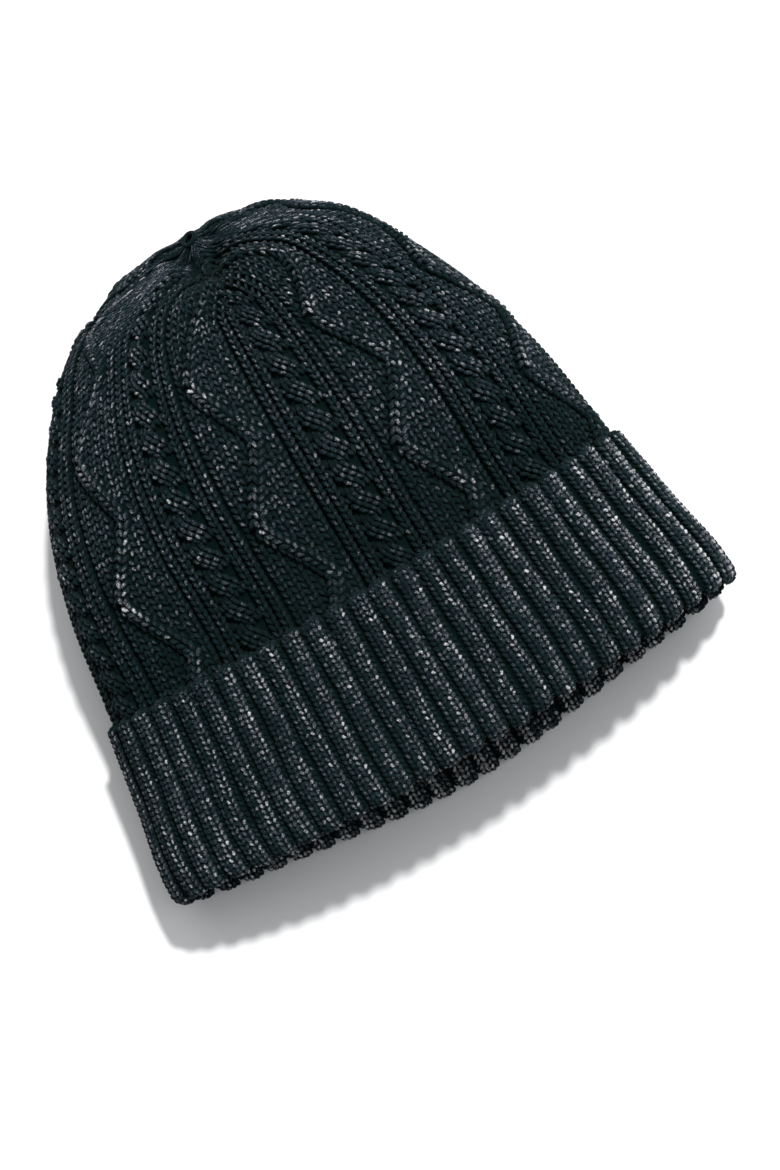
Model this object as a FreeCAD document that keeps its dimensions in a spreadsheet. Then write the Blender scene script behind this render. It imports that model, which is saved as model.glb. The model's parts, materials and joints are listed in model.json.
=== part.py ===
import FreeCAD, Part
import math
import os

# A cuffed cable-knit beanie that lies on its back, lightly filled out.
# +Y runs from the opening to the crown, +X across and +Z up. The floor is z = 0.
#
# One set of oval sections gives the whole shape. Each knit layer is the space between two
# skins, a skin being a loft through those ovals moved in or out, and flattened below where
# the hat rests. Upright cylinders of large radius trim the layers along their courses,
# because the rim and every course after it bow forward in the middle.

V = FreeCAD.Vector
doc = FreeCAD.newDocument("beanie")

# ---- driving dimensions, in millimetres and degrees ----------------------------------------

sheet = doc.addObject("Spreadsheet::Sheet", "Sizes")
written = {}


def size(alias, number):
    """Writes one named size into the sheet."""
    row = len(written) + 1
    sheet.set(f"A{row}", alias)
    sheet.set(f"B{row}", str(number))
    sheet.setAlias(f"B{row}", alias)
    written[alias] = number


size("hat_length", 224.2)         # rim to the far side of the crown, lying down
size("crown_wall", 3.0)           # cable knit
size("band_wall", 2.6)            # rib knit against the head
size("cuff_wall", 3.2)            # rib knit turned up over the band
size("layer_gap", 0.5)            # between the cuff and the band
size("fold_depth", 4.0)           # the turn of the rim
size("band_depth", 62.0)          # rim to where the rib changes to cables
size("cuff_depth", 70.0)          # rim to the cast-on welt of the turned-up cuff
size("cast_on_width", 2.4)
size("course_bow", 700.0)         # radius, in plan, of the rim and the courses near it
size("sag_start", 82.0)           # past the cuff, the back sinks from the cuff's thickness
size("sag_end", 180.0)            # to the floor here
size("dart_start", 158.0)         # where the four crown darts begin
size("dart_level", 31.0)          # height of the side darts where they begin
size("dart_climb", 50.0)          # angle at which they then climb to the crown point
size("seam_width", 3.6)           # ridges of linked stitches on the inside
size("seam_height", 1.8)
size("tie_radius", 4.4)           # the drawn-up yarn that closes the crown point
size("label_reach", 30.0)         # seam to the fold of the label's loop
size("label_width", 40.0)
size("label_thickness", 0.8)
size("label_start", 92.0)         # rim to the label
size("label_clearance", 0.35)     # the label clears what it lies on and turns beside

# Oval sections from the rim to the crown point: place along the hat, height and place across
# of the oval's middle, its half width and half height, and how far it leans back.
ovals = [
    {"along": -8.0, "height": 21.5, "across": 0.0, "half_width": 115.6, "half_height": 33.2, "lean": 0.0},
    {"along": 20.0, "height": 22.5, "across": 0.0, "half_width": 116.2, "half_height": 34.0, "lean": 0.0},
    {"along": 50.0, "height": 24.0, "across": 0.0, "half_width": 110.8, "half_height": 35.2, "lean": 0.0},
    {"along": 80.0, "height": 26.0, "across": 0.0, "half_width": 105.9, "half_height": 37.4, "lean": 0.0},
    {"along": 124.0, "height": 28.5, "across": 0.0, "half_width": 99.2, "half_height": 48.5, "lean": 0.0},
    {"along": 156.0, "height": 31.0, "across": 0.4, "half_width": 89.3, "half_height": 46.5, "lean": 2.0},
    {"along": 184.0, "height": 35.5, "across": 1.8, "half_width": 73.6, "half_height": 38.5, "lean": 9.0},
    {"along": 203.8, "height": 39.5, "across": 4.2, "half_width": 56.5, "half_height": 31.0, "lean": 19.0},
    {"along": 212.6, "height": 43.0, "across": 6.4, "half_width": 39.0, "half_height": 21.5, "lean": 31.0},
    {"along": 216.6, "height": 45.5, "across": 8.0, "half_width": 22.0, "half_height": 12.0, "lean": 43.0},
    {"along": 218.6, "height": 47.2, "across": 8.8, "half_width": 7.0, "half_height": 4.5, "lean": 58.0},
]
for number, oval in enumerate(ovals):
    for quantity, amount in oval.items():
        size(f"{quantity}_{number}", amount)
last = len(ovals) - 1

blockSide = 500.0    # trimming blocks and cylinders are far larger than the hat
rimPlace = "(0 - Sizes.hat_length / 2)"
crownPlace = (f"vector(Sizes.across_{last}; {rimPlace} + Sizes.along_{last}; Sizes.height_{last})")
sagTilt = "atan((Sizes.cuff_wall + Sizes.layer_gap) / (Sizes.sag_end - Sizes.sag_start))"
doc.recompute()


# ---- shapes that the layers are made from -----------------------------------------------------

def block(name, base, tilt="0 deg", pivot=None):
    """A large block whose low corner is base, tilted about the X line through pivot."""
    box = doc.addObject("Part::Box", name)
    for side in ("Length", "Width", "Height"):
        setattr(box, side, blockSide)
    pivot = pivot or base
    turn = f"rotation(vector(1; 0; 0); {tilt})"
    box.setExpression("Placement", f"placement({base}; {turn}; {pivot} - ({base}))")
    return box


def steepness(number):
    """Angle between the skin and the hat's axis at one oval."""
    before = ovals[max(number - 1, 0)]
    after = ovals[min(number + 1, last)]
    narrowing = before["half_width"] - after["half_width"] + before["half_height"] - after["half_height"]
    travel = math.dist((before["along"], before["height"]), (after["along"], after["height"]))
    return math.atan2(narrowing / 2, travel)


def skin(name, inset, restsOnFloor=False):
    """A solid up to the skin that lies inset below the hat's outside, flattened underneath."""
    sections = []
    for number, oval in enumerate(ovals):
        angle = steepness(number)
        lean = math.radians(oval["lean"])
        inward = f"({inset}) * {math.cos(angle):.4f}"
        back = f"({inset}) * {math.sin(angle):.4f}"
        section = doc.addObject("Part::Ellipse", f"{name}_oval_{number}")
        section.setExpression("MajorRadius", f"Sizes.half_width_{number} - {inward}")
        section.setExpression("MinorRadius", f"Sizes.half_height_{number} - {inward}")
        place = f"vector(Sizes.across_{number}; {rimPlace} + Sizes.along_{number}" \
                f" - {back} * {math.cos(lean):.4f}; Sizes.height_{number} - {back} * {math.sin(lean):.4f})"
        turn = f"rotation(vector(1; 0; 0); 90 deg + Sizes.lean_{number} * 1 deg)"
        section.setExpression("Placement", f"placement({place}; {turn})")
        sections.append(section)
    loft = doc.addObject("Part::Loft", f"{name}_loft")
    loft.Sections = sections
    loft.Solid = True

    low = f"vector({-blockSide / 2}; {-blockSide / 2}; 0)"
    if restsOnFloor:
        floor = block(f"{name}_floor", low)
    else:
        height = f"Sizes.cuff_wall + Sizes.layer_gap + ({inset})"
        level = block(f"{name}_level", f"{low} + vector(0; 0; {height})")
        pivot = f"vector(0; {rimPlace} + Sizes.sag_start; {height})"
        sag = block(f"{name}_sag", f"{low} + vector(0; 0; {height})", f"0 deg - {sagTilt}", pivot)
        floor = doc.addObject("Part::Fuse", f"{name}_floor")
        floor.Base = level
        floor.Tool = sag
    solid = doc.addObject("Part::Common", name)
    solid.Base = loft
    solid.Tool = floor
    return solid


def between(name, outer, inner):
    """The space between two skins."""
    wall = doc.addObject("Part::Cut", name)
    wall.Base = outer
    wall.Tool = inner
    return wall


def beyond(name, place):
    """Everything past one course, counted from the rim."""
    course = doc.addObject("Part::Cylinder", name)
    course.setExpression("Radius", "Sizes.course_bow")
    course.Height = blockSide
    course.setExpression("Placement.Base.y", f"{rimPlace} + {place} + Sizes.course_bow")
    return course


def common(name, *shapes):
    part = doc.addObject("Part::MultiCommon", name)
    part.Shapes = list(shapes)
    return part


def cut(name, base, tool):
    part = doc.addObject("Part::Cut", name)
    part.Base = base
    part.Tool = tool
    return part


nodes = []


def node(part, label):
    """Marks a finished piece. Its label names its file."""
    part.Label = label
    nodes.append(part)


# ---- the skins ----------------------------------------------------------------------------------

cuffOutside = skin("cuff_outside", "0 - Sizes.layer_gap - Sizes.cuff_wall", restsOnFloor=True)
cuffInside = skin("cuff_inside", "0 - Sizes.layer_gap")
outside = skin("outside", "0")
bandInside = skin("band_inside", "Sizes.band_wall")
bodyInside = skin("body_inside", "Sizes.crown_wall")
seamInside = skin("seam_inside", "Sizes.crown_wall + Sizes.seam_height")

pastRim = beyond("past_rim", "0")
pastFold = beyond("past_fold", "Sizes.fold_depth")
pastBand = beyond("past_band", "Sizes.band_depth")
pastCuff = beyond("past_cuff", "Sizes.cuff_depth")
pastCastOn = beyond("past_cast_on", "Sizes.cuff_depth + Sizes.cast_on_width")
pastBody = beyond("past_body", "Sizes.dart_start")

# ---- rib: the band, the turn of the rim, the cuff and its cast-on welt ------------------------------

bandWall = between("band_wall_layer", outside, bandInside)
node(cut("band_trimmed", common("band_past_fold", bandWall, pastFold), pastBand), "inner_band")

rimWall = between("rim_wall_layer", cuffOutside, bandInside)
node(cut("rim_trimmed", common("rim_past", rimWall, pastRim), pastFold), "fold_edge")

cuffWall = between("cuff_wall_layer", cuffOutside, cuffInside)
node(cut("cuff_trimmed", common("cuff_past_fold", cuffWall, pastFold), pastCuff), "cuff")
node(cut("cast_on_trimmed", common("cast_on_past", cuffWall, pastCuff), pastCastOn), "cast_on_edge")

# ---- cable knit: the body and four crown gores between four darts ---------------------------------

bodyWall = between("body_wall_layer", outside, bodyInside)
node(cut("body_trimmed", common("body_past_band", bodyWall, pastBand), pastBody), "body_tube")

plain = "rotation(vector(0; 0; 1); 0 deg)"


def frontZone(name, drop):
    """The space over the side darts, which run level and then climb to the crown point."""
    low = f"vector({-blockSide / 2}; {-blockSide / 2}; 0)"
    level = block(f"{name}_level", f"{low} + vector(0; 0; Sizes.dart_level - ({drop}))")
    climb = block(f"{name}_climb", f"{low} + vector(0; 0; Sizes.height_{last} - ({drop}))",
                  "Sizes.dart_climb * 1 deg", crownPlace)
    zone = doc.addObject("Part::Common", name)
    zone.Base = level
    zone.Tool = climb
    return zone


def upright(name, low, width):
    """Everything from low to low plus width across the hat."""
    box = doc.addObject("Part::Box", name)
    box.setExpression("Length", width)
    box.Width = blockSide
    box.Height = blockSide
    corner = f"vector({low}; {-blockSide / 2}; {-blockSide / 2})"
    box.setExpression("Placement", f"placement({corner}; {plain})")
    return box


# The drawn-up yarn fills a round hole at the crown point.
tie = doc.addObject("Part::Cylinder", "tie_bore")
tie.setExpression("Radius", "Sizes.tie_radius")
tieReach = 14.0
tie.Height = 2 * tieReach
poleTurn = f"rotation(vector(1; 0; 0); Sizes.lean_{last} * 1 deg - 90 deg)"
tie.setExpression("Placement", f"placement({crownPlace}; {poleTurn})"
                  f" * placement(vector(0; 0; {-tieReach}); {plain})")
crownWall = common("crown_past_body", bodyWall, pastBody)
crownOpen = cut("crown_open", crownWall, tie)
node(common("tie_in_wall", crownWall, tie), "crown_tie")

front = frontZone("front_zone", "0")
halves = {
    "left": upright("left_half", f"Sizes.across_{last} - {blockSide}", f"{blockSide} mm"),
    "right": upright("right_half", f"Sizes.across_{last}", f"{blockSide} mm"),
}
crownFaces = {"front": common("crown_front", crownOpen, front), "back": cut("crown_back", crownOpen, front)}
for face, crown in crownFaces.items():
    for side, half in halves.items():
        node(common(f"gore_{face}_{side}", crown, half), f"crown_gore_{face}_{side}")

# ---- linked seams on the inside: four darts, and the seam down the back -----------------------------

seamLayer = between("seam_layer", bodyInside, seamInside)
crownSeams = cut("crown_seams", common("seams_past_body", seamLayer, pastBody), tie)
middleSlab = upright("middle_slab", f"Sizes.across_{last} - Sizes.seam_width / 2", "Sizes.seam_width")
middleSeam = common("middle_seam", crownSeams, middleSlab)
node(common("front_dart", middleSeam, front), "dart_seam_front")
node(cut("back_dart", middleSeam, front), "dart_seam_back")

sideZone = cut("side_zone", frontZone("side_low", "Sizes.seam_width / 2"),
               frontZone("side_high", "0 - Sizes.seam_width / 2"))
sideSeam = common("side_seam", crownSeams, sideZone)
for side, half in halves.items():
    node(common(f"{side}_dart", sideSeam, half), f"dart_seam_{side}")

# Before the darts begin, the back seam runs straight along the underside.
underside = cut("underside_layer", common("underside_past_band", seamLayer, pastBand, middleSlab), front)
node(cut("back_seam_before_darts", underside, pastBody), "back_seam")

# ---- blank care label, sewn by one end into the back seam --------------------------------------------------

label = doc.addObject("Part::Box", "label_tape")
label.setExpression("Length", "Sizes.label_reach")
label.setExpression("Width", "Sizes.label_width")
label.setExpression("Height", "Sizes.label_thickness")
labelAcross = (f"Sizes.across_{last} + Sizes.seam_width / 2 + Sizes.label_thickness / 2"
               " + Sizes.label_clearance")
labelHeight = "Sizes.cuff_wall + Sizes.layer_gap + Sizes.crown_wall + Sizes.label_clearance"
sagPivot = f"vector(0; {rimPlace} + Sizes.sag_start; {labelHeight})"
labelBase = f"vector({labelAcross}; {rimPlace} + Sizes.label_start; {labelHeight})"
label.setExpression("Placement", f"placement({labelBase}; rotation(vector(1; 0; 0);"
                    f" 0 deg - {sagTilt}); {sagPivot} - {labelBase})")
hem = doc.addObject("Part::Cylinder", "label_hem")
hem.setExpression("Radius", "Sizes.label_thickness / 2")
hem.setExpression("Height", "Sizes.label_width")
hem.setExpression("Placement", "label_tape.Placement * placement(vector(0; 0; Sizes.label_thickness / 2);"
                  " rotation(vector(1; 0; 0); 0 deg - 90 deg))")
loop = doc.addObject("Part::Fuse", "label_loop")
loop.Base = label
loop.Tool = hem
node(loop, "care_label")

# ---- checks and files ---------------------------------------------------------------------------------

doc.recompute()
for thing in doc.Objects:
    if {"Invalid", "Error"} & set(thing.State):
        raise RuntimeError(f"{thing.Name} failed: {thing.State}")

os.makedirs("parts", exist_ok=True)
for part in nodes:
    shape = part.Shape
    if shape.isNull() or not shape.isValid() or not shape.Solids:
        raise RuntimeError(f"{part.Label} has no sound solid")
    shape.exportStep(f"parts/{part.Label}.step")
    print(f"{part.Label}: {len(shape.Solids)} solid, {shape.Volume / 1000:.2f} cm3")
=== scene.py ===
import json
import math

import bmesh
import bpy
import numpy as np
from mathutils import Matrix, Vector


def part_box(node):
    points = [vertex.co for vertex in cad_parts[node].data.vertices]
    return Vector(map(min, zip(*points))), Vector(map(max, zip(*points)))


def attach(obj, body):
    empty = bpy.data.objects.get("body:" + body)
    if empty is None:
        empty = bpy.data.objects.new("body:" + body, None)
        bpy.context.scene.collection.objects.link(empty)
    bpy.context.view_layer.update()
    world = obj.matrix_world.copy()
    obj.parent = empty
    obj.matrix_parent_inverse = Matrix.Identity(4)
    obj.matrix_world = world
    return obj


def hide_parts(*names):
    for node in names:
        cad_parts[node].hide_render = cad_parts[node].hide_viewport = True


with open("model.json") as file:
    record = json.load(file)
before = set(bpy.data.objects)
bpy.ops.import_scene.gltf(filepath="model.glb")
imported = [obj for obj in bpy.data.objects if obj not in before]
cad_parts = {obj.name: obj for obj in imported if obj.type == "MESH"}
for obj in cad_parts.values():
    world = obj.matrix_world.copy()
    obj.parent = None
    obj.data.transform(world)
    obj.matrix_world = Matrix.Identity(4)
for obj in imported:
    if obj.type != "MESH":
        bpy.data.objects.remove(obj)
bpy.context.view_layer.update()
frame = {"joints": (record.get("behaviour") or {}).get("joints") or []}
scene = bpy.context.scene
chance = np.random.default_rng(11)
print("frame loaded")

# camera, floor and light

viewPoint = {
    "target": (0.0077, -0.0437, 0.050),
    "distance": 1.1,
    "elevation": 81,
    "roll": (0.509, 0.861),
    "lens": 93.7,
}


def makeCamera():
    rise = math.radians(viewPoint["elevation"])
    ahead = Vector((0, math.cos(rise), -math.sin(rise)))
    rightX, upY = viewPoint["roll"]
    planeY = Vector((0, math.sin(rise), math.cos(rise)))
    up = (rightX * Vector((1, 0, 0)) + upY * planeY).normalized()
    right = ahead.cross(up).normalized()
    turn = Matrix((right, right.cross(ahead), -ahead)).transposed()
    cameraData = bpy.data.cameras.new("camera")
    cameraData.lens = viewPoint["lens"]
    cameraData.sensor_width = 36
    cameraData.clip_start = 0.01
    camera = bpy.data.objects.new("camera", cameraData)
    place = Vector(viewPoint["target"]) - ahead * viewPoint["distance"]
    camera.matrix_world = Matrix.Translation(place) @ turn.to_4x4()
    scene.collection.objects.link(camera)
    scene.camera = camera


lightSetup = {
    "towardLight": (0.76, 0.65),
    "elevation": 59.8,
    "sunStrength": 3.1,
    "sunAngle": 4.5,
    "softStrength": 1.7,
    "softAngle": 95,
    "softElevation": 55,
    "roomColor": (0.93, 0.97, 1.0),
    "roomStrength": 0.25,
    "floorColor": (0.84, 0.84, 0.84),
}


def makeLight():
    sideX, sideY = lightSetup["towardLight"]
    for name, rise, strength, spread in (
        ("keyLight", lightSetup["elevation"], lightSetup["sunStrength"], lightSetup["sunAngle"]),
        ("softLight", lightSetup["softElevation"], lightSetup["softStrength"], lightSetup["softAngle"]),
    ):
        height = math.radians(rise)
        toward = Vector((sideX * math.cos(height), sideY * math.cos(height), math.sin(height)))
        sunData = bpy.data.lights.new(name, "SUN")
        sunData.energy = strength
        sunData.angle = math.radians(spread)
        sun = bpy.data.objects.new(name, sunData)
        sun.rotation_euler = toward.to_track_quat("Z", "Y").to_euler()
        scene.collection.objects.link(sun)
    world = bpy.data.worlds.new("studio")
    world.use_nodes = True
    sky = world.node_tree.nodes["Background"]
    sky.inputs["Color"].default_value = (*lightSetup["roomColor"], 1)
    sky.inputs["Strength"].default_value = lightSetup["roomStrength"]
    scene.world = world
    scene.view_settings.view_transform = "Standard"
    scene.view_settings.look = "None"


def makeFloor():
    bm = bmesh.new()
    bmesh.ops.create_grid(bm, x_segments=4, y_segments=4, size=4)
    bmesh.ops.translate(bm, verts=bm.verts, vec=(0, 0, -0.0004))
    mesh = bpy.data.meshes.new("studioFloor")
    bm.to_mesh(mesh)
    bm.free()
    floor = bpy.data.objects.new("studioFloor", mesh)
    scene.collection.objects.link(floor)
    paint = bpy.data.materials.new("floorPaint")
    paint.use_nodes = True
    shader = paint.node_tree.nodes["Principled BSDF"]
    shader.inputs["Base Color"].default_value = (*lightSetup["floorColor"], 1)
    shader.inputs["Roughness"].default_value = 0.9
    mesh.materials.append(paint)


makeCamera()
makeLight()
makeFloor()
print("camera, light and floor made")

# the lying hat's form, in millimetres: ovals round the outside of the inner tube,
# each with its distance along from the rim, height, shift across, half width, half height and lean

hatForm = {
    "ovals": [
        (-8, 21.5, 0, 115.6, 33.2, 0),
        (20, 22.5, 0, 116.2, 34, 0),
        (50, 24, 0, 110.8, 35.2, 0),
        (80, 26, 0, 105.9, 37.4, 0),
        (124, 28.5, 0, 99.2, 48.5, 0),
        (156, 31, 0.4, 89.3, 46.5, 2),
        (184, 35.5, 1.8, 73.6, 38.5, 9),
        (203.8, 39.5, 4.2, 56.5, 31, 19),
        (212.6, 43, 6.4, 39, 21.5, 31),
        (216.6, 45.5, 8, 22, 12, 43),
        (218.6, 47.2, 8.8, 7, 4.5, 58),
        (217.9, 46.8, 8.8, 2, 1.4, 58),
    ],
    "rimY": -112.1,
    "lift": 3.7,
    "sagStart": 82,
    "sagEnd": 180,
    "softness": 3,
    "courseBow": 700,
    "bowEnds": 200,
    "poleX": 8.8,
    "backBow": 1.0,
    "backDrop": 4.3,
    "pinchDepth": (9.5, 0.4, 5.0, 0.4),
    "pinchWidth": 9.5,
    "pinchReach": 30,
}
ringCount = 280
aroundCount = 720
courseSteps = 700


def smoothThrough(knots, values, at):
    values = np.asarray(values, float)
    slopes = np.gradient(values, knots)
    i = np.clip(np.searchsorted(knots, at) - 1, 0, len(knots) - 2)
    span = knots[i + 1] - knots[i]
    t = (at - knots[i]) / span
    start = (1 + 2 * t) * (1 - t) ** 2 * values[i] + t * (1 - t) ** 2 * span * slopes[i]
    end = t * t * (3 - 2 * t) * values[i + 1] + t * t * (t - 1) * span * slopes[i + 1]
    return start + end


def smoothStep(t):
    t = np.clip(t, 0, 1)
    return t * t * (3 - 2 * t)


ovals = np.array(hatForm["ovals"], float)
knots = np.concatenate([[0], np.cumsum(np.linalg.norm(np.diff(ovals[:, [0, 1, 3]], axis=0), axis=1))])
ringAt = np.linspace(knots[0], knots[-1], ringCount)
ringAlong, ringHeight, ringAcross, ringHalfWidth, ringHalfHeight, ringLean = [
    smoothThrough(knots, ovals[:, i], ringAt) for i in range(6)
]
ringLean = np.radians(ringLean)
angle = -math.pi / 2 - 2 * math.pi * np.linspace(0, 1, 2881)
points = np.zeros((ringCount, aroundCount + 1, 3))
girth = np.zeros(ringCount)
for r in range(ringCount):
    sine = ringHalfHeight[r] * np.sin(angle)
    x = ringAcross[r] + ringHalfWidth[r] * np.cos(angle)
    y = hatForm["rimY"] + ringAlong[r] - sine * math.sin(ringLean[r])
    z = ringHeight[r] + sine * math.cos(ringLean[r])
    sag = smoothStep((y - hatForm["rimY"] - hatForm["sagStart"]) / (hatForm["sagEnd"] - hatForm["sagStart"]))
    base = hatForm["lift"] * (1 - sag)
    z = base + ((z - base) + np.sqrt((z - base) ** 2 + hatForm["softness"] ** 2)) / 2
    line = np.stack([x, y, z], 1)
    run = np.concatenate([[0], np.cumsum(np.linalg.norm(np.diff(line, axis=0), axis=1))])
    girth[r] = run[-1]
    even = np.linspace(0, run[-1], aroundCount + 1)
    for c in range(3):
        points[r, :, c] = np.interp(even, run, line[:, c])
points[:, -1] = points[:, 0]


def directions():
    acrossStep = np.roll(points[:, :-1], -1, axis=1) - np.roll(points[:, :-1], 1, axis=1)
    acrossStep = np.concatenate([acrossStep, acrossStep[:, :1]], 1)
    step = np.gradient(points, axis=0)
    step /= np.linalg.norm(step, axis=2, keepdims=True) + 1e-9
    normal = np.cross(acrossStep, step)
    normal /= np.linalg.norm(normal, axis=2, keepdims=True) + 1e-9
    run = np.cumsum(np.linalg.norm(np.diff(points, axis=0), axis=2), axis=0)
    return step, normal, np.concatenate([np.zeros((1, aroundCount + 1)), run])


upStep, outward, meridian = directions()
# the crown is drawn in along its four darts, most at the front and the back
toPole = meridian[-1] - meridian
pinch = np.zeros_like(meridian)
for dart, depth in enumerate(hatForm["pinchDepth"]):
    home = 0.5 + dart * 0.25 + (hatForm["poleX"] - ringAcross) / girth
    away = (np.linspace(0, 1, aroundCount + 1)[None, :] - home[:, None] + 0.5) % 1 - 0.5
    away = away * girth[:, None]
    near = np.exp(-((toPole / hatForm["pinchReach"]) ** 2)) * (1 - np.exp(-((toPole / 5) ** 2)))
    pinch = np.maximum(pinch, depth * near * np.exp(-((away / hatForm["pinchWidth"]) ** 2)))
points -= outward * pinch[..., None]
upStep, outward, meridian = directions()
rimRing = np.interp(0, ringAlong[: ringCount // 2], np.arange(ringCount // 2))
rings = np.arange(ringCount)
meridian -= np.array([np.interp(rimRing, rings, meridian[:, i]) for i in range(aroundCount + 1)])
poleAt = meridian[-1]
courseGrid = np.linspace(-7, meridian.max(), courseSteps)
ringOfCourse = np.stack(
    [np.interp(courseGrid, meridian[:, i], rings) for i in range(aroundCount + 1)], 1
)


def lookUp(table, row, around):
    row = np.clip(row, 0, table.shape[0] - 1.001)
    column = (around % 1) * aroundCount
    r = row.astype(int)
    c = np.minimum(column.astype(int), aroundCount - 1)
    fr = row - r
    fc = column - c
    if table.ndim == 3:
        fr = fr[..., None]
        fc = fc[..., None]
    low = table[r, c] * (1 - fc) + table[r, c + 1] * fc
    high = table[r + 1, c] * (1 - fc) + table[r + 1, c + 1] * fc
    return low * (1 - fr) + high * fr


def ringFor(course, around):
    row = (course - courseGrid[0]) / (courseGrid[1] - courseGrid[0])
    ring = lookUp(ringOfCourse, row, around)
    x = lookUp(points, ring, around)[..., 0]
    bow = hatForm["courseBow"] - np.sqrt(hatForm["courseBow"] ** 2 - x * x)
    below = np.clip(np.cos(2 * math.pi * around), 0, 1) ** 3
    bow = bow * (1 + hatForm["backBow"] * below) - hatForm["backDrop"] * below
    fade = 1 - smoothStep((course - 60) / (hatForm["bowEnds"] - 60))
    row = (course + bow * fade - courseGrid[0]) / (courseGrid[1] - courseGrid[0])
    return lookUp(ringOfCourse, row, around)


def girthAt(ring):
    return np.interp(ring, np.arange(ringCount), girth)


def poleShift(ring):
    # how far round the darts move, as the crown point isn't in the middle
    return (hatForm["poleX"] - np.interp(ring, np.arange(ringCount), ringAcross)) / girthAt(ring)


def poleCourse(around):
    return lookUp(np.stack([poleAt, poleAt]), np.zeros_like(around), around)


def onTube(course, around, lift):
    ring = ringFor(course, around)
    place = lookUp(points, ring, around) + lookUp(outward, ring, around) * lift[..., None]
    place[..., 2] = np.maximum(place[..., 2], 0.15)
    return place


foldShape = {
    "depth": 4.0,
    "outside": 3.7,
    "inside": -2.6,
    "quarter": 5.65,
}


def onFold(path, around, lift):
    # the turned-up cloth: path runs from inside the band, round the rim at 0, and up the cuff
    quarter = foldShape["quarter"]
    turn = math.pi / 2 * (1 - np.clip(path / quarter, -1, 1))
    course = foldShape["depth"] * (1 - np.sin(turn)) + np.maximum(np.abs(path) - quarter, 0)
    middle = (foldShape["outside"] + foldShape["inside"]) / 2
    half = (foldShape["outside"] - foldShape["inside"]) / 2
    ring = ringFor(course, around)
    normal = lookUp(outward, ring, around)
    along = lookUp(upStep, ring, around)
    place = lookUp(points, ring, around) + normal * (middle + half * np.cos(turn))[..., None]
    facing = normal * np.cos(turn)[..., None] - along * np.sin(turn)[..., None]
    place = place + facing * lift[..., None]
    place[..., 2] = np.maximum(place[..., 2], 0.15)
    return place


print("form: girth", round(float(girth.max()), 1), "front crown", round(float(poleAt[aroundCount // 2]), 1))

# materials

yarnLook = {
    "ramp": [
        (0.0, (0.0003, 0.0042, 0.0042)),
        (0.30, (0.0015, 0.0092, 0.0100)),
        (0.50, (0.0075, 0.0160, 0.0205)),
        (0.66, (0.0360, 0.0440, 0.0530)),
        (0.82, (0.1650, 0.1700, 0.1800)),
        (1.0, (0.5200, 0.5200, 0.5250)),
    ],
    "roughness": 0.95,
    "sheen": 0.03,
    "patchScale": 34,
    "fleckScale": 1400,
    "fibreScale": 1900,
    "fibreDepth": 0.00035,
}


def setRamp(node, stops):
    while len(node.color_ramp.elements) > 1:
        node.color_ramp.elements.remove(node.color_ramp.elements[-1])
    node.color_ramp.elements[0].position = stops[0][0]
    node.color_ramp.elements[0].color = (*stops[0][1], 1)
    for position, color in stops[1:]:
        element = node.color_ramp.elements.new(position)
        element.color = (*color, 1)


def newMath(nodes, kind, a=None, b=None):
    node = nodes.new("ShaderNodeMath")
    node.operation = kind
    if a is not None:
        node.inputs[0].default_value = a
    if b is not None:
        node.inputs[1].default_value = b
    return node


def makeYarn(name, brighter=0.0, contrast=1.0):
    material = bpy.data.materials.new(name)
    material.use_nodes = True
    nodes = material.node_tree.nodes
    links = material.node_tree.links
    shader = nodes["Principled BSDF"]
    shader.inputs["Roughness"].default_value = yarnLook["roughness"]
    shader.inputs["Sheen Weight"].default_value = yarnLook["sheen"]
    shader.inputs["Sheen Roughness"].default_value = 0.5
    shader.inputs["Specular IOR Level"].default_value = 0.06
    coords = nodes.new("ShaderNodeTexCoord")
    shade = nodes.new("ShaderNodeAttribute")
    shade.attribute_name = "shade"
    patch = nodes.new("ShaderNodeTexNoise")
    patch.inputs["Scale"].default_value = yarnLook["patchScale"]
    patch.inputs["Detail"].default_value = 3
    fleck = nodes.new("ShaderNodeTexNoise")
    fleck.inputs["Scale"].default_value = yarnLook["fleckScale"]
    fleck.inputs["Detail"].default_value = 4
    fleck.inputs["Roughness"].default_value = 0.7
    fibre = nodes.new("ShaderNodeTexNoise")
    fibre.inputs["Scale"].default_value = yarnLook["fibreScale"]
    fibre.inputs["Detail"].default_value = 2
    for noise in (patch, fleck, fibre):
        links.new(coords.outputs["Object"], noise.inputs["Vector"])
    patchPart = newMath(nodes, "MULTIPLY_ADD", b=0.22 * contrast)
    patchPart.inputs[2].default_value = -0.11 * contrast + brighter
    links.new(patch.outputs["Fac"], patchPart.inputs[0])
    fleckPart = newMath(nodes, "MULTIPLY_ADD", b=1.3 * contrast)
    fleckPart.inputs[2].default_value = -0.65 * contrast
    links.new(fleck.outputs["Fac"], fleckPart.inputs[0])
    first = newMath(nodes, "ADD")
    links.new(shade.outputs["Fac"], first.inputs[0])
    links.new(patchPart.outputs[0], first.inputs[1])
    second = newMath(nodes, "ADD")
    links.new(first.outputs[0], second.inputs[0])
    links.new(fleckPart.outputs[0], second.inputs[1])
    ramp = nodes.new("ShaderNodeValToRGB")
    setRamp(ramp, yarnLook["ramp"])
    links.new(second.outputs[0], ramp.inputs["Fac"])
    links.new(ramp.outputs["Color"], shader.inputs["Base Color"])
    bump = nodes.new("ShaderNodeBump")
    bump.inputs["Strength"].default_value = 0.8
    bump.inputs["Distance"].default_value = yarnLook["fibreDepth"]
    links.new(fibre.outputs["Fac"], bump.inputs["Height"])
    links.new(bump.outputs["Normal"], shader.inputs["Normal"])
    return material


knitYarn = makeYarn("washedKnitYarn")
ribYarn = makeYarn("washedRibYarn", 0.02)
seamYarn = makeYarn("seamYarn", -0.03)
# the backing cloth shows only in the gaps between stitches; set darker and flatter, and given low tones
# below, it is near-black, painted shade in those gaps
backingYarn = makeYarn("backingYarn", -0.02, 0.7)
print("materials made")

# stitch legs: one small lozenge, repeated in a row, each copy then laid on the form

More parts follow.
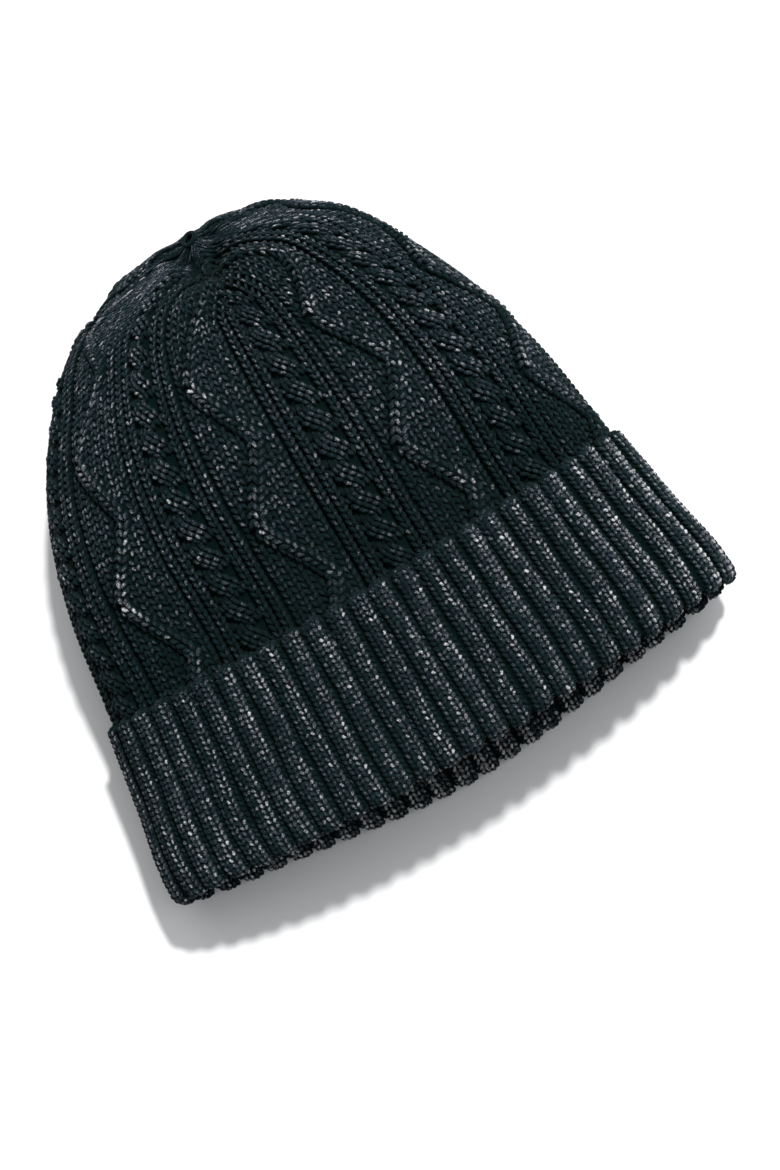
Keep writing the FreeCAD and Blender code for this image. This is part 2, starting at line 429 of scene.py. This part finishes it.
legShape = {
    "sides": 6,
    "rings": 5,
    "dip": 0.55,
    "fuller": 0.22,
}


def legRow(name, count):
    bm = bmesh.new()
    bmesh.ops.create_uvsphere(
        bm, u_segments=legShape["sides"], v_segments=legShape["rings"], radius=1,
        matrix=Matrix.Rotation(math.radians(-90), 4, "X") @ Matrix.Rotation(math.radians(30), 4, "Z"),
    )
    mesh = bpy.data.meshes.new(name + "Leg")
    bm.to_mesh(mesh)
    bm.free()
    row = bpy.data.objects.new(name, mesh)
    scene.collection.objects.link(row)
    array = row.modifiers.new("row", "ARRAY")
    array.count = count
    array.use_relative_offset = False
    array.use_constant_offset = True
    array.constant_offset_displace = (0, 0, 3)
    shape = np.zeros(len(mesh.vertices) * 3)
    mesh.vertices.foreach_get("co", shape)
    made = bpy.data.meshes.new_from_object(row.evaluated_get(bpy.context.evaluated_depsgraph_get()))
    row.modifiers.clear()
    row.data = made
    made.name = name
    bpy.data.meshes.remove(mesh)
    return row, shape.reshape(-1, 3)


def finishPiece(piece, material, nodes=(), body="hat"):
    piece.data.materials.clear()
    piece.data.materials.append(material)
    piece.data.polygons.foreach_set("use_smooth", np.ones(len(piece.data.polygons), bool))
    piece.data.update()
    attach(piece, body)
    if nodes:
        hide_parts(*nodes)
    return piece


def layLegs(name, legs, onForm, material, nodes=()):
    # legs has rows of: place along, place around, lift, lean, half length, half width, half height, shade
    piece, shape = legRow(name, len(legs))
    along, around, lift, lean, halfLong, halfWide, halfHigh, shade = [c[:, None] for c in legs.T]
    sx, sy, sz = shape[None, :, 0], shape[None, :, 1], shape[None, :, 2]
    wide = halfWide * sx * (1 + legShape["fuller"] * sy)
    dx = wide * np.cos(lean) + halfLong * sy * np.sin(lean)
    ds = -wide * np.sin(lean) + halfLong * sy * np.cos(lean)
    dh = halfHigh * sz - legShape["dip"] * halfHigh * sy * sy
    near = np.abs(along) if onForm is onFold else along
    size = girthAt(ringFor(np.broadcast_to(near, around.shape), around))
    place = onForm(along + ds, around + dx / size, lift + dh)
    piece.data.vertices.foreach_set("co", (place.reshape(-1) * 0.001).astype(np.float32))
    # painted light and shade on every leg: lighter toward its top, with a painted highlight of random
    # strength (glint), and darker down its sides and ends, where the legs meet
    crest = np.clip(sz, -0.5, 1)
    glint = 0.10 + 1.25 * chance.uniform(0, 1, len(legs))[:, None] ** 1.6
    tone = shade - 0.05 + 0.16 * (crest - 0.7) + glint * (np.clip(crest, 0, 1) ** 3 * (1 - sy * sy) - 0.28)
    attribute = piece.data.attributes.new("shade", "FLOAT", "POINT")
    attribute.data.foreach_set("value", tone.reshape(-1).astype(np.float32))
    print(name, len(legs), "legs")
    return finishPiece(piece, material, nodes)


def layCloth(name, spans, cells, onForm, relief, thickness, material, nodes=()):
    # a grid wrapped on the form; relief gives the lift and shade of each point
    bm = bmesh.new()
    bmesh.ops.create_grid(bm, x_segments=cells[0], y_segments=cells[1], size=1)
    flat = np.array([v.co for v in bm.verts])
    along, around, lift, shade = relief((flat[:, 1] + 1) / 2, (flat[:, 0] + 1) / 2, spans)
    place = onForm(along, around, lift) * 0.001
    layer = bm.verts.layers.float.new("shade")
    for v, p, tone in zip(bm.verts, place, shade):
        v.co = p
        v[layer] = tone
    bmesh.ops.remove_doubles(bm, verts=bm.verts, dist=0.00002)
    mesh = bpy.data.meshes.new(name)
    bm.to_mesh(mesh)
    bm.free()
    piece = bpy.data.objects.new(name, mesh)
    scene.collection.objects.link(piece)
    wall = piece.modifiers.new("wall", "SOLIDIFY")
    wall.thickness = thickness * 0.001
    wall.offset = -1
    made = bpy.data.meshes.new_from_object(piece.evaluated_get(bpy.context.evaluated_depsgraph_get()))
    piece.modifiers.clear()
    piece.data = made
    made.name = name
    bpy.data.meshes.remove(mesh)
    return finishPiece(piece, material, nodes)


# the ribbed cuff, its fold and the band inside

ribKnit = {
    "ribs": 52,
    "pitch": 10.0,
    "course": 2.14,
    # the last number of each column is a tone shift: columns on each rib's right side, toward the lamp, are
    # lighter, and those on its left side and down in the valley darker, painted light and painted shade
    "columns": [(-3.55, -1, -0.13), (-1.8, 1, -0.10), (0.15, -1, 0.06), (2.05, 1, 0.08), (3.7, -1, -0.26)],
    "crest": -0.75,
    "lean": 29,
    "halfLong": 1.66,
    "halfWide": 0.86,
    "halfHigh": 0.95,
    "valley": 3.3,
    "cuffTop": 71.65,
    "bandTop": -61.65,
    "waver": 0.55,
}


def ribRelief(x):
    half = ribKnit["pitch"] / 2
    fromCrest = (x - ribKnit["crest"] + half) % ribKnit["pitch"] - half
    return -ribKnit["valley"] * (np.abs(fromCrest) / half) ** 3


def ribWaver(rib, path):
    return ribKnit["waver"] * (np.sin(path / 13 + rib * 2.4) + 0.6 * np.sin(path / 6.1 + rib * 4.1))


def ribLegs():
    ribs = np.arange(ribKnit["ribs"])
    courses = np.arange(ribKnit["bandTop"] + 1, ribKnit["cuffTop"] - 0.8, ribKnit["course"])
    rows = []
    for offset, side, brighter in ribKnit["columns"]:
        rib, path = [a.ravel() for a in np.meshgrid(ribs, courses, indexing="ij")]
        count = len(rib)
        x = offset + ribWaver(rib, path) * 0.6 + chance.normal(0, 0.1, count)
        around = ((rib + 0.5) + x / ribKnit["pitch"]) / ribKnit["ribs"]
        plump = 1 + 0.10 * np.sin(rib * 1.7 + 0.4)
        # legs on the cuff's right flank, the side toward the lamp, are made lighter: painted light
        atRight = smoothStep((around - 0.63) / 0.08) * (1 - smoothStep((around - 0.75) / 0.05))
        # painted light: the back layer's legs near the rim and inside the band, in the front cuff's shade,
        # are made lighter
        paintedFillLight = (1 - smoothStep((path - 4) / 4)) * smoothStep((np.abs(around - 0.5) - 0.27) / 0.08)
        tone = 0.50 + chance.normal(0, 0.05, count) + brighter + 0.09 * atRight + 0.2 * paintedFillLight
        rows.append(np.stack([
            path + chance.normal(0, 0.12, count),
            around,
            ribRelief(np.full(count, offset)) * 0.9 + chance.normal(0, 0.06, count) - 0.35,
            np.radians(side * ribKnit["lean"] + chance.normal(0, 4, count)),
            np.full(count, ribKnit["halfLong"]),
            ribKnit["halfWide"] * plump,
            np.full(count, ribKnit["halfHigh"]),
            tone,
        ], 1))
    return np.concatenate(rows)


def ribCloth(v, w, spans):
    path = spans[0] + (spans[1] - spans[0]) * v
    place = w * ribKnit["ribs"]
    x = (place % 1 - 0.5) * ribKnit["pitch"]
    lift = ribRelief(x) * 0.85 - 0.75
    shift = ribWaver(np.floor(place), path) * 0.6 / ribKnit["pitch"] * (1 - (np.abs(x) / 5) ** 4)
    # painted shade: the backing is darkest in the valleys between ribs
    tone = 0.02 + 0.10 * (1 - (np.abs(x) / 5) ** 2)
    return path, (place + shift) / ribKnit["ribs"] % 1.0, lift, tone


ribStitches = ribLegs()
isFront = np.abs(ribStitches[:, 1] % 1 - 0.5) < 0.25
onCuff = ribStitches[:, 0] > foldShape["quarter"]
onBand = ribStitches[:, 0] < -foldShape["quarter"]
layLegs("cuffRibsFront", ribStitches[onCuff & isFront], onFold, ribYarn)
layLegs("cuffRibsBack", ribStitches[onCuff & ~isFront], onFold, ribYarn)
layLegs("foldRibs", ribStitches[~onCuff & ~onBand], onFold, ribYarn)
layLegs("bandRibsFront", ribStitches[onBand & isFront], onFold, ribYarn)
layLegs("bandRibsBack", ribStitches[onBand & ~isFront], onFold, ribYarn)
quarter = foldShape["quarter"]
for name, spans, rows, thickness, node in (
    ("cuffCloth", (quarter, ribKnit["cuffTop"]), 34, 1.4, "cuff"),
    ("foldCloth", (-quarter, quarter), 10, 1.2, "fold_edge"),
    ("bandCloth", (ribKnit["bandTop"], -quarter), 28, 1.2, "inner_band"),
):
    layCloth(name, spans, (416, rows), onFold, ribCloth, thickness, backingYarn, [node])

castOn = {
    "halfLong": 1.45,
    "halfWide": 0.95,
    "halfHigh": 0.95,
    "rows": [71.0, 72.0],
    "columns": (-4.0, -2.4, -0.8, 0.8, 2.4, 4.0),
}


def castOnLegs():
    rows = []
    for n, path in enumerate(castOn["rows"]):
        for offset in castOn["columns"]:
            rib = np.arange(ribKnit["ribs"])
            count = len(rib)
            x = offset + ribWaver(rib, np.full(count, path)) * 0.6
            drop = 2.4 * (abs(offset) / 4) ** 2.5
            rows.append(np.stack([
                path - drop + chance.normal(0, 0.1, count),
                ((rib + 0.5) + x / ribKnit["pitch"]) / ribKnit["ribs"],
                ribRelief(np.full(count, offset)) - 0.35 - n * 1.1,
                np.radians(90 - 14 * np.sign(offset) + chance.normal(0, 6, count)),
                np.full(count, castOn["halfLong"]),
                np.full(count, castOn["halfWide"]),
                np.full(count, castOn["halfHigh"]),
                0.36 - 0.05 * n + chance.normal(0, 0.05, count),
            ], 1))
    return np.concatenate(rows)


layLegs("castOnChain", castOnLegs(), onFold, ribYarn, ["cast_on_edge"])

# the cabled body and crown

cableKnit = {
    "around": 496.0,
    "repeats": 8,
    "patternShift": 7.0,
    "course": 2.72,
    "start": 58.0,
    "crownFrom": 158.0,
    "plainFrom": 17.0,
    "cutShare": 0.70,
    "lean": 27,
    "panelWales": 7,
    "panelHalf": 14.5,
    "ridges": (8.6, 13.2),
    "valleys": (6.3, 10.9, 15.7),
    "zigzagReach": 7.9,
    "zigzagTurn": 80.0,
    "zigzagPeriod": 57.0,
    "cableCross": 11.4,
    "cableReach": 3.3,
    "plainWales": 13,
    # half length, half width and half height of one leg
    "panelLeg": (1.95, 0.92, 0.95),
    "zigzagLeg": (2.2, 1.05, 1.2),
    "ridgeLeg": (1.95, 0.88, 0.95),
    "cableLeg": (2.0, 1.0, 1.05),
    "plainLeg": (1.9, 1.1, 0.95),
    # place across, lean, lift and shade of each column on a zigzag
    # the left column sits lower, by the groove, and is darker: painted shade
    "zigzagColumns": ((-2.9, 1, 0.5, 0.42), (-1.15, -1, 1.25, 0.57), (1.15, 1, 1.3, 0.57)),
    "clearOfZigzag": (-4.2, 2.9),
    "strandColumns": (-2.9, -1.0, 1.0, 2.9),
    "strandShows": -0.3,
    "labelFrom": (188, 82, 142),
}
cutGirth = cableKnit["cutShare"] * girth.max()
repeatWidth = cableKnit["around"] / cableKnit["repeats"]
goreWidth = cableKnit["around"] / 4
halfAround = cableKnit["around"] / 2


def toForm(x, course):
    # x is the flat distance round from the front dart
    # returns the place around, what the darts cut off and the width left
    gore = np.floor(x / goreWidth)
    middle = (gore + 0.5) * goreWidth
    aside = x - middle
    around = 0.5 + x / cableKnit["around"]
    for step in range(4):
        ring = ringFor(course, around)
        size = girthAt(ring)
        dart = 0.5 + poleShift(ring)
        squeeze = np.maximum(cutGirth / size, 1.0)
        around = dart + middle / cableKnit["around"] + aside * squeeze / cableKnit["around"]
    cut = np.abs(aside) * squeeze > goreWidth / 2
    cut |= course > poleCourse(around) - 1.0
    scale = np.minimum(size / girth.max(), 1.0) * squeeze
    return around, cut, scale


def zigzagAt(course):
    p = (course - cableKnit["zigzagTurn"]) / cableKnit["zigzagPeriod"]
    near = p - np.round(p)
    wave = 0.75 * (1 - 4 * np.abs(near)) + 0.25 * np.cos(2 * math.pi * near)
    return cableKnit["zigzagReach"] * wave


def zigzagSlope(course):
    return zigzagAt(course + 0.5) - zigzagAt(course - 0.5)


def poleFor(x):
    return poleCourse(0.5 + x / cableKnit["around"])


def panelStep(away):
    # the cloth steps up to the right of a zigzag and drops into a groove on its left
    groove = np.exp(-(((away + 4.6) / 1.8) ** 2))
    rise = np.where(away > 0, 0.75 * np.exp(-np.abs(away) / 6), -0.45 * np.exp(-np.abs(away) / 7))
    return rise - 1.4 * groove, groove


def bodyLegs():
    k = cableKnit
    rows = []
    courses = np.arange(k["start"], poleAt.max(), k["course"])
    repeats = np.arange(k["repeats"]) * repeatWidth + k["patternShift"] - halfAround
    panelMiddle = repeatWidth / 2

    def add(home, offset, course, lift, lean, halfLong, halfWide, halfHigh, shade, plain=0.0):
        count = len(course)
        full = (lift, lean, halfLong, halfWide, halfHigh, shade, plain)
        full = [np.broadcast_to(np.asarray(a, float), count) for a in full]
        rows.append(np.stack([course, home + offset, *full], 1))

    home, course = [a.ravel() for a in np.meshgrid(repeats, courses, indexing="ij")]
    count = len(home)
    for column in range(2 * k["panelWales"]):
        side = -1 if column % 2 == 0 else 1
        aside = (column - k["panelWales"] + 0.5) * 2 * k["panelHalf"] / (2 * k["panelWales"])
        away = aside - zigzagAt(course)
        keep = (away > k["clearOfZigzag"][1]) | (away < k["clearOfZigzag"][0])
        step, groove = panelStep(away)
        puff = 1.1 * (1 - (aside / 15.5) ** 2) - 0.2 + step[keep]
        jitter = chance.normal(0, 1, (4, count))
        # panel legs are darker in the groove left of the zigzag and a little lighter up the step to its
        # right: painted shade and painted light
        add(home[keep], panelMiddle + aside + jitter[0, keep] * 0.15, course[keep] + jitter[1, keep] * 0.2,
            puff - 0.5, np.radians(side * k["lean"] + jitter[2, keep] * 7),
            *k["panelLeg"], 0.50 - 0.30 * groove[keep] + 0.03 * step[keep] + jitter[3, keep] * 0.05)
    slope = np.arctan(zigzagSlope(course))
    bright = 0.05 * np.sin(course / 9 + home * 0.31) + 0.05 * np.sin(course / 4.3 + home)
    # near the cuff the raised zigzag is made lighter than the darkened cloth around it: painted light
    bright = bright + 0.13 * smoothStep((126 - course) / 56)
    for aside, side, raised, tone in k["zigzagColumns"]:
        jitter = chance.normal(0, 1, (3, count))
        add(home, panelMiddle + zigzagAt(course) + aside * np.cos(slope) + jitter[0] * 0.12,
            course - aside * np.sin(slope) + jitter[1] * 0.15, raised,
            slope + math.radians(29) * side + jitter[1] * 0.1,
            *k["zigzagLeg"], tone + bright + jitter[2] * 0.06)
    for ridge in k["ridges"]:
        for flip in (-1, 1):
            for side in (-1, 1):
                jitter = chance.normal(0, 1, (3, count))
                add(home, flip * ridge + side * 0.88 + jitter[0] * 0.06, course,
                    0.35, np.radians(side * 24 + jitter[1] * 4), *k["ridgeLeg"], 0.49 + jitter[2] * 0.05)
    strandCourses = np.arange(k["start"], poleAt.max(), k["cableCross"] / 5)
    home, course = [a.ravel() for a in np.meshgrid(repeats, strandCourses, indexing="ij")]
    for strand in (0, 1):
        phase = math.pi * (course / k["cableCross"] + strand)
        tilt = np.arctan(-k["cableReach"] * math.pi / k["cableCross"] * np.sin(phase))
        for n, aside in enumerate(k["strandColumns"]):
            keep = np.sin(phase) > k["strandShows"]
            jitter = chance.normal(0, 1, (3, len(home)))
            side = -1 if n % 2 == 0 else 1
            rounded = 1.1 * (1 - (aside / 3.3) ** 2) - 0.5
            across = k["cableReach"] * np.cos(phase) + aside * np.cos(tilt)
            # each cable strand is darker where it dips under the other: painted shade
            add(home[keep], across[keep] + jitter[0, keep] * 0.06,
                (course - aside * np.sin(tilt))[keep], (1.5 * np.sin(phase) + rounded)[keep],
                (tilt + math.radians(13) * side)[keep] + jitter[1, keep] * 0.09, *k["cableLeg"],
                0.34 + 0.21 * np.sin(phase)[keep] + jitter[2, keep] * 0.05)
    plainCourses = courses[courses >= poleAt.min() - 2 * k["plainFrom"]]
    home, course = [a.ravel() for a in np.meshgrid(repeats, plainCourses, indexing="ij")]
    pitch = repeatWidth / k["plainWales"]
    for column in range(2 * k["plainWales"]):
        side = -1 if column % 2 == 0 else 1
        aside = (column + 0.5) * pitch / 2
        jitter = chance.normal(0, 1, (4, len(home)))
        add(home, aside + jitter[0] * 0.08, course + jitter[1] * 0.12, -0.1 + jitter[3] * 0.05,
            np.radians(side * k["lean"] + jitter[2] * 4), *k["plainLeg"], 0.51 + jitter[3] * 0.05, 1.0)
    legs = np.concatenate(rows)
    x = (legs[:, 1] + halfAround) % k["around"] - halfAround
    around, cut, scale = toForm(x, legs[:, 0])
    nearPole = legs[:, 0] > poleFor(x) - k["plainFrom"]
    cut |= nearPole != (legs[:, 8] > 0.5)
    # painted shade: darker just above the cuff, where the cuff's edge shades the body, and in the pinched
    # darts of the crown; also a little darker toward the crown and along the middle of the upper face,
    # fading out before the crown
    paintedShadeAndTone = -0.02 * smoothStep((legs[:, 0] - 120) / 90) - 0.2 * smoothStep((126 - legs[:, 0]) / 56)
    paintedShadeAndTone = paintedShadeAndTone - 0.05 * np.exp(-(((around - 0.5) / 0.11) ** 2)) * smoothStep((215 - legs[:, 0]) / 60)
    paintedShadeAndTone = paintedShadeAndTone - 0.034 * lookUp(pinch, ringFor(legs[:, 0], around), around)
    relaxed = smoothStep((poleFor(x) - k["plainFrom"] + 2 - legs[:, 0]) / 16)
    lift = np.where(legs[:, 2] > 0, legs[:, 2] * relaxed, legs[:, 2])
    made = np.stack([
        legs[:, 0], around, lift, legs[:, 3] * (0.55 + 0.45 * scale), legs[:, 4], legs[:, 5] * scale,
        legs[:, 6], legs[:, 7] + paintedShadeAndTone,
    ], 1)
    gore = np.clip(np.floor(x / goreWidth) + 2, 0, 3).astype(int)
    return made[~cut], gore[~cut]


def bodyRelief(x, course):
    k = cableKnit
    half = repeatWidth / 2
    d = np.abs((x - k["patternShift"] + half) % repeatWidth - half)
    puff = 1.1 * (1 - ((half - d) / 15.5) ** 2) - 0.2
    lift = np.where(d > 16.0, puff, 0.2)
    for valley in k["valleys"]:
        lift = lift - 1.7 * np.exp(-((d - valley) / 0.8) ** 2)
    lift = lift + 0.8 * np.exp(-(d / 4.0) ** 4)
    p = (x - k["patternShift"]) % repeatWidth - half - zigzagAt(course)
    onPanel = smoothStep((16.5 - np.abs(half - d)) / 2)
    lift = lift + onPanel * (1.2 * np.exp(-((p / 2.4) ** 2)) + panelStep(p)[0])
    plain = smoothStep((course - poleFor(x) + k["plainFrom"] + 4) / 8)
    # the cloth is flatter where the label lies on it
    side, low, high = k["labelFrom"]
    behindLabel = smoothStep((course - low) / 6) * smoothStep((high - course) / 6)
    behindLabel = behindLabel * smoothStep((x - side) / 6)
    lift = lift + (np.clip(lift, -0.4, 9) - lift) * behindLabel
    return lift * (1 - plain) - 0.9


def bodyCloth(v, w, spans):
    course = spans[0] + (spans[1] - spans[0]) * v
    x = w * cableKnit["around"] - halfAround
    around = toForm(np.clip(x, -halfAround + 0.0001, halfAround - 0.0001), course)[0]
    lift = bodyRelief(x, course)
    # painted shade: the backing is darker where it lies lower
    return course, around, lift, 0.06 + 0.04 * lift


bodyStitches, bodyGore = bodyLegs()
gores = [("Back", "Left"), ("Front", "Left"), ("Front", "Right"), ("Back", "Right")]
low = bodyStitches[:, 0] < cableKnit["crownFrom"]
for g, (face, side) in enumerate(gores):
    for name, part in (("bodyStitches", low), ("crownStitches", ~low)):
        layLegs(name + face + side, bodyStitches[part & (bodyGore == g)], onTube, knitYarn)
bodySpan = (cableKnit["start"] - 2, cableKnit["crownFrom"])
layCloth("bodyCloth", bodySpan, (400, 56), onTube, bodyCloth, 1.6, backingYarn, ["body_tube"])


def goreCloth(v, w, gore):
    # from the body up to the tie, between two darts
    share = w - 0.5
    around = 0.5 + (gore - 2 + w) * goreWidth / cableKnit["around"]
    course = cableKnit["crownFrom"] + (poleCourse(around) - cableKnit["crownFrom"]) * v
    for step in range(4):
        ring = ringFor(course, around)
        around = 0.5 + poleShift(ring) + (gore - 2 + w) * 0.25
        course = cableKnit["crownFrom"] + (poleCourse(around) - cableKnit["crownFrom"]) * v
    squeeze = np.maximum(cutGirth / girthAt(ring), 1.0)
    flat = (gore - 1.5) * goreWidth + share * goreWidth / squeeze
    edge = np.exp(-((0.5 - np.abs(share)) * goreWidth / squeeze / 1.6) ** 2)
    edge = edge * smoothStep((squeeze - 1.0) / 0.1)
    lift = bodyRelief(flat, course) - 0.8 * edge
    # painted shade: the backing is darker where it lies lower
    return course, around, lift, 0.06 + 0.04 * lift


for g, (face, side) in enumerate(gores):
    node = "crown_gore_" + face.lower() + "_" + side.lower()
    name = "crownCloth" + face + side
    layCloth(name, g, (100, 50), onTube, goreCloth, 1.6, backingYarn, [node])

# seams of linked stitches

seamShape = {
    "step": 2.3,
    "halfLong": 1.65,
    "halfWide": 0.85,
    "halfHigh": 0.8,
    "lean": 26.0,
    "dartFrom": 158.0,
    "backFrom": 62.0,
    "inside": 3.7,
    "ridgeWide": 1.05,
}


def dartLegs(turn):
    end = float(poleAt[int((0.5 + turn * 0.25) % 1 * aroundCount)])
    course = np.arange(seamShape["dartFrom"], end - 1.5, seamShape["step"])
    around = np.full(len(course), 0.5 + turn * 0.25)
    for step in range(4):
        ring = ringFor(course, around)
        size = girthAt(ring)
        around = 0.5 + turn * 0.25 + poleShift(ring)
    cutHere = smoothStep((cutGirth / size - 0.93) / 0.12)
    rows = []
    for side in (-1, 1):
        rows.append(np.stack([
            course,
            around + side * 0.75 / size,
            -1.3 + 0.75 * cutHere,
            np.radians(side * seamShape["lean"]) * np.ones_like(course),
            np.full(len(course), seamShape["halfLong"]),
            np.full(len(course), seamShape["halfWide"]),
            np.full(len(course), seamShape["halfHigh"]),
            0.40 + chance.normal(0, 0.08, len(course)),
        ], 1))
        inside = rows[-1].copy()
        inside[:, 2] = -seamShape["inside"]
        inside[:, 5] = seamShape["ridgeWide"]
        inside[:, 6] = seamShape["ridgeWide"]
        inside[:, 1] += side * 0.35 / size
        rows.append(inside)
    return np.concatenate(rows)


def backSeamLegs():
    course = np.arange(seamShape["backFrom"], seamShape["dartFrom"], seamShape["step"])
    around = np.full(len(course), -hatForm["poleX"] / girth.max())
    size = girthAt(ringFor(course, around))
    rows = []
    for side in (-1, 1):
        rows.append(np.stack([
            course,
            around + side * 1.1 / size,
            np.full(len(course), -seamShape["inside"]),
            np.radians(side * seamShape["lean"]) * np.ones_like(course),
            np.full(len(course), seamShape["halfLong"]),
            np.full(len(course), seamShape["ridgeWide"]),
            np.full(len(course), seamShape["ridgeWide"]),
            0.42 + chance.normal(0, 0.06, len(course)),
        ], 1))
    return np.concatenate(rows)


for turn, side in enumerate(("front", "right", "back", "left")):
    name = "dartSeam" + side.capitalize()
    layLegs(name, dartLegs(turn), onTube, seamYarn, ["dart_seam_" + side])

layLegs("backSeam", backSeamLegs(), onTube, seamYarn, ["back_seam"])

# the yarn that gathers the crown: a small wound ring, its turns a little uneven

crownTie = {
    "turns": 4,
    "turnRadius": 2.9,
    "yarnRadius": 0.85,
    "segments": 36,
    "sides": 8,
    "rise": 1.15,
}


def makeCrownTie():
    lowCorner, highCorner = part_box("crown_tie")
    centre = (lowCorner + highCorner) / 2
    bm = bmesh.new()
    for turn in range(crownTie["turns"]):
        ring = bmesh.ops.create_circle(
            bm, cap_ends=False, segments=crownTie["sides"], radius=crownTie["yarnRadius"] * 0.001,
            matrix=Matrix.Rotation(math.radians(90), 4, "X"),
        )["verts"]
        outTo = crownTie["turnRadius"] * 0.001 * (1 - 0.06 * (turn % 2))
        bmesh.ops.translate(bm, verts=ring, vec=(outTo, 0, 0))
        edges = [e for e in bm.edges if e.verts[0] in ring and e.verts[1] in ring]
        bmesh.ops.spin(
            bm, geom=ring + edges, cent=(0, 0, 0), axis=(0, 0, 1), angle=2 * math.pi,
            steps=crownTie["segments"], use_merge=True,
        )
        made = {v for f in bm.faces for v in f.verts if not v.tag}
        tip = Matrix.Rotation(0.16 * (1 if turn % 2 else -1), 4, "X") @ Matrix.Rotation(0.1 * turn, 4, "Y")
        lift = Matrix.Translation((0, 0, (turn - 1.5) * crownTie["rise"] * 0.001))
        bmesh.ops.transform(bm, matrix=lift @ tip, verts=list(made))
        for v in made:
            v.tag = True
    bmesh.ops.remove_doubles(bm, verts=bm.verts, dist=0.00001)
    bmesh.ops.recalc_face_normals(bm, faces=bm.faces)
    nearPole = np.array([float(ringCount - 6)] * 2)
    frontAndBack = lookUp(outward, nearPole, np.array([0.5, 0.0]))
    axis = (Vector(frontAndBack[0]) + Vector(frontAndBack[1])).normalized()
    turned = axis.to_track_quat("Z", "Y").to_matrix().to_4x4()
    bmesh.ops.transform(bm, matrix=Matrix.Translation(centre) @ turned, verts=bm.verts)
    layer = bm.verts.layers.float.new("shade")
    for v in bm.verts:
        v[layer] = 0.34
    mesh = bpy.data.meshes.new("crownTieYarn")
    bm.to_mesh(mesh)
    bm.free()
    tie = bpy.data.objects.new("crownTieYarn", mesh)
    scene.collection.objects.link(tie)
    finishPiece(tie, seamYarn, ["crown_tie"])


makeCrownTie()

# the blank satin label, a strip folded in half and sewn in beside the back seam

labelCut = {
    "width": 40.0,
    "reach": 29.8,
    "gap": 0.24,
    "foldShare": 0.03,
    "cloth": 0.22,
    "sewnStrip": 2.2,
    "stitches": 13,
}


def makeSatin():
    material = bpy.data.materials.new("labelSatin")
    material.use_nodes = True
    nodes = material.node_tree.nodes
    links = material.node_tree.links
    shader = nodes["Principled BSDF"]
    shader.inputs["Roughness"].default_value = 0.34
    shader.inputs["Anisotropic"].default_value = 0.5
    shader.inputs["Sheen Weight"].default_value = 0.2
    coords = nodes.new("ShaderNodeTexCoord")
    weave = nodes.new("ShaderNodeTexWave")
    weave.bands_direction = "Y"
    weave.inputs["Scale"].default_value = 700
    weave.inputs["Distortion"].default_value = 0.6
    cloud = nodes.new("ShaderNodeTexNoise")
    cloud.inputs["Scale"].default_value = 160
    for texture in (weave, cloud):
        links.new(coords.outputs["Object"], texture.inputs["Vector"])
    ramp = nodes.new("ShaderNodeValToRGB")
    setRamp(ramp, [(0.0, (0.030, 0.034, 0.038)), (1.0, (0.060, 0.064, 0.070))])
    links.new(cloud.outputs["Fac"], ramp.inputs["Fac"])
    links.new(ramp.outputs["Color"], shader.inputs["Base Color"])
    bump = nodes.new("ShaderNodeBump")
    bump.inputs["Strength"].default_value = 0.35
    bump.inputs["Distance"].default_value = 0.0001
    links.new(weave.outputs["Fac"], bump.inputs["Height"])
    links.new(bump.outputs["Normal"], shader.inputs["Normal"])
    return material


def makeLabel():
    joint = frame["joints"][0]
    hinge = Vector(joint["pos_m"])
    axis = Vector(joint["axis"]).normalized()
    if axis.y < 0:
        axis = -axis
    bm = bmesh.new()
    bmesh.ops.create_grid(bm, x_segments=64, y_segments=24, size=1)
    reach = labelCut["reach"] * 0.001
    half = labelCut["gap"] * 0.001
    for v in bm.verts:
        share, along = v.co.x, v.co.y
        fold = min(max((abs(share) - labelCut["foldShare"]) / (1 - labelCut["foldShare"]), 0), 1)
        turn = max(-1, min(1, share / labelCut["foldShare"]))
        out = reach * (1 - fold) - reach * 0.012 * turn ** 2
        rise = half * math.sin(turn * math.pi / 2)
        rise *= 0.35 + 0.65 * smoothStep(1 - fold + 0.1)
        ripple = 0.00008 * math.sin(along * 4.0) * (1 - fold)
        place = hinge + axis * (along * labelCut["width"] * 0.0005)
        v.co = place + Vector((out, 0, rise + ripple))
    bmesh.ops.recalc_face_normals(bm, faces=bm.faces)
    mesh = bpy.data.meshes.new("labelSatinStrip")
    bm.to_mesh(mesh)
    bm.free()
    label = bpy.data.objects.new("labelSatinStrip", mesh)
    scene.collection.objects.link(label)
    wall = label.modifiers.new("cloth", "SOLIDIFY")
    wall.thickness = labelCut["cloth"] * 0.001
    wall.offset = 0
    made = bpy.data.meshes.new_from_object(label.evaluated_get(bpy.context.evaluated_depsgraph_get()))
    label.modifiers.clear()
    label.data = made
    made.name = "labelSatinStrip"
    bpy.data.meshes.remove(mesh)
    finishPiece(label, makeSatin(), ["care_label"], "label")
    row, shape = legRow("labelStitches", labelCut["stitches"])
    places = []
    for i in range(labelCut["stitches"]):
        along = (i + 0.5) / labelCut["stitches"] * 2 - 1
        centre = hinge + axis * (along * labelCut["width"] * 0.00048)
        centre.x += labelCut["sewnStrip"] * 0.001
        local = shape * np.array([0.22, 1.1, 0.42]) * 0.001
        places.append(local + np.array(centre))
    row.data.vertices.foreach_set("co", np.concatenate(places).reshape(-1).astype(np.float32))
    attribute = row.data.attributes.new("shade", "FLOAT", "POINT")
    attribute.data.foreach_set("value", np.full(len(row.data.vertices), 0.5, np.float32))
    finishPiece(row, seamYarn, (), "label")


makeLabel()
print("tie and label made")
